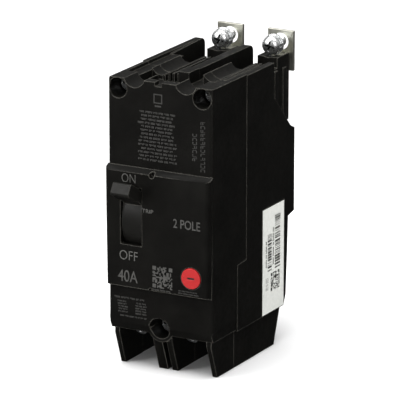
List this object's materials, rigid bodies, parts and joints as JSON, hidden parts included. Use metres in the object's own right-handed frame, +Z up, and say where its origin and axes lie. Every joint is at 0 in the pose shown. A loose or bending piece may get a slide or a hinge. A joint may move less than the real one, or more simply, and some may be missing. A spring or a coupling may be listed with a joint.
{
  "type": "circuit breaker",
  "caption": "Two-pole bolt-on moulded-case circuit breaker with a toggle handle, push-to-trip button, line straps and box lugs.",
  "frame": {"origin": "centre of the flat rear pad that rests on the panel", "axes": "+Z up along the breaker's length, towards the line straps; -Y out of the front face; X across the poles"},
  "size_m": [0.051, 0.1017, 0.1354],
  "materials": {
    "case_plastic": "moulded thermoset, fine matt grain, slightly glossy on edges",
    "handle_plastic": "moulded thermoplastic, satin",
    "red_plastic": "moulded, semi-gloss",
    "label_paper": "printed white film",
    "screw_zinc": "bright zinc plate",
    "tin_plate": "tin plate over copper, satin",
    "contact_silver": "silver alloy",
    "copper": "bare copper",
    "steel": "bare and lightly oiled",
    "chute_fibre": "vulcanised fibre",
    "brown_phenolic": "moulded phenolic"
  },
  "bodies": {
    "case": {"base": "case_plastic", "front_cover": "case_plastic", "side_label": "label_paper", "case_screw_left": "screw_zinc", "case_screw_right": "screw_zinc", "case_screw_bottom": "screw_zinc", "side_plate_outer": "steel", "side_plate_inner": "steel", "handle_pin": "steel", "cradle_pin": "steel", "line_strap_left": "tin_plate", "fixed_contact_left": "contact_silver", "chute_frame_left": "chute_fibre", "bimetal_left": "steel", "load_strap_left": "copper", "magnet_yoke_left": "steel", "braid_left": "copper", "load_lug_left": "tin_plate", "arc_plate_left_1": "steel", "arc_plate_left_2": "steel", "arc_plate_left_3": "steel", "line_strap_right": "tin_plate", "fixed_contact_right": "contact_silver", "chute_frame_right": "chute_fibre", "bimetal_right": "steel", "load_strap_right": "copper", "magnet_yoke_right": "steel", "braid_right": "copper", "load_lug_right": "tin_plate", "arc_plate_right_1": "steel", "arc_plate_right_2": "steel", "arc_plate_right_3": "steel"},
    "handle": {"handle": "handle_plastic", "spring_pin": "steel"},
    "main_springs": {"main_spring_outer": "steel", "main_spring_inner": "steel"},
    "crossbar": {"crossbar": "brown_phenolic", "arm_pin_left": "steel", "contact_arm_left": "copper", "moving_contact_left": "contact_silver", "arm_pin_right": "steel", "contact_arm_right": "copper", "moving_contact_right": "contact_silver"},
    "lower_link": {"lower_link": "steel", "toggle_pin": "steel"},
    "cradle": {"cradle": "steel"},
    "upper_link": {"upper_link": "steel"},
    "trip_bar": {"trip_bar": "brown_phenolic"},
    "trip_button": {"trip_button": "red_plastic", "button_spring": "steel"},
    "armature_left": {"armature_left": "steel"},
    "line_screw_left": {"line_screw_left": "screw_zinc", "lock_washer_left": "screw_zinc", "flat_washer_left": "screw_zinc"},
    "load_screw_left": {"load_screw_left": "screw_zinc"},
    "armature_right": {"armature_right": "steel"},
    "line_screw_right": {"line_screw_right": "screw_zinc", "lock_washer_right": "screw_zinc", "flat_washer_right": "screw_zinc"},
    "load_screw_right": {"load_screw_right": "screw_zinc"}
  },
  "joints": [
    {"name": "handle_hinge", "type": "hinge", "parent": "case", "child": "handle", "pos_m": [-0.0123, -0.0613, -0.00715], "axis": [1, 0, 0], "range_deg": [0, 55]},
    {"name": "crossbar_hinge", "type": "hinge", "parent": "case", "child": "crossbar", "pos_m": [0, -0.0273, -0.00735], "axis": [1, 0, 0], "range_deg": [0, 30.5]},
    {"name": "lower_link_hinge", "type": "hinge", "parent": "crossbar", "child": "lower_link", "pos_m": [-0.0125, -0.0293, 0.00165], "axis": [1, 0, 0], "range_deg": [-1.5, 0]},
    {"name": "upper_link_hinge", "type": "hinge", "parent": "cradle", "child": "upper_link", "pos_m": [-0.0125, -0.0493, -0.00735], "axis": [1, 0, 0], "range_deg": [-32.5, 0]},
    {"name": "main_spring_hinge", "type": "hinge", "parent": "handle", "child": "main_springs", "pos_m": [-0.0125, -0.0563, -0.00935], "axis": [1, 0, 0], "range_deg": [-90.5, 0]},
    {"name": "trip_button_slide", "type": "slide", "parent": "case", "child": "trip_button", "axis": [0, 1, 0], "range_m": [0, 0.0015], "stiffness_N_per_m": 300, "springref_m": -0.002},
    {"name": "trip_bar_hinge", "type": "hinge", "parent": "case", "child": "trip_bar", "pos_m": [0, -0.0313, -0.03635], "axis": [1, 0, 0], "range_deg": [-17.5, 0]},
    {"name": "cradle_hinge", "type": "hinge", "parent": "case", "child": "cradle", "pos_m": [-0.0125, -0.0493, -0.02535], "axis": [1, 0, 0], "range_deg": [0, 6.2]},
    {"name": "armature_left_hinge", "type": "hinge", "parent": "case", "child": "armature_left", "pos_m": [-0.0125, -0.0255, -0.02035], "axis": [1, 0, 0], "range_deg": [0, 5], "stiffness_Nm_per_rad": 0.01, "springref_deg": -5.73},
    {"name": "line_screw_left_slide", "type": "slide", "parent": "case", "child": "line_screw_left", "axis": [0, 1, 0], "range_m": [0, 0.0055]},
    {"name": "load_screw_left_slide", "type": "slide", "parent": "case", "child": "load_screw_left", "axis": [0, -0.7071, -0.7071], "range_m": [0, 0.0025]},
    {"name": "armature_right_hinge", "type": "hinge", "parent": "case", "child": "armature_right", "pos_m": [0.0125, -0.0255, -0.02035], "axis": [1, 0, 0], "range_deg": [0, 5], "stiffness_Nm_per_rad": 0.01, "springref_deg": -5.73},
    {"name": "line_screw_right_slide", "type": "slide", "parent": "case", "child": "line_screw_right", "axis": [0, 1, 0], "range_m": [0, 0.0055]},
    {"name": "load_screw_right_slide", "type": "slide", "parent": "case", "child": "load_screw_right", "axis": [0, -0.7071, -0.7071], "range_m": [0, 0.0025]}
  ],
  "couplings": [
    {"joint": "crossbar_hinge", "follows": "handle_hinge", "ratio": 0.5455},
    {"joint": "lower_link_hinge", "follows": "handle_hinge", "ratio": -0.0218},
    {"joint": "upper_link_hinge", "follows": "handle_hinge", "ratio": -0.5818},
    {"joint": "main_spring_hinge", "follows": "handle_hinge", "ratio": -1.6309},
    {"joint": "trip_bar_hinge", "follows": "trip_button_slide", "rad_per_m": -197.8},
    {"joint": "cradle_hinge", "follows": "trip_button_slide", "rad_per_m": 69.81}
  ]
}
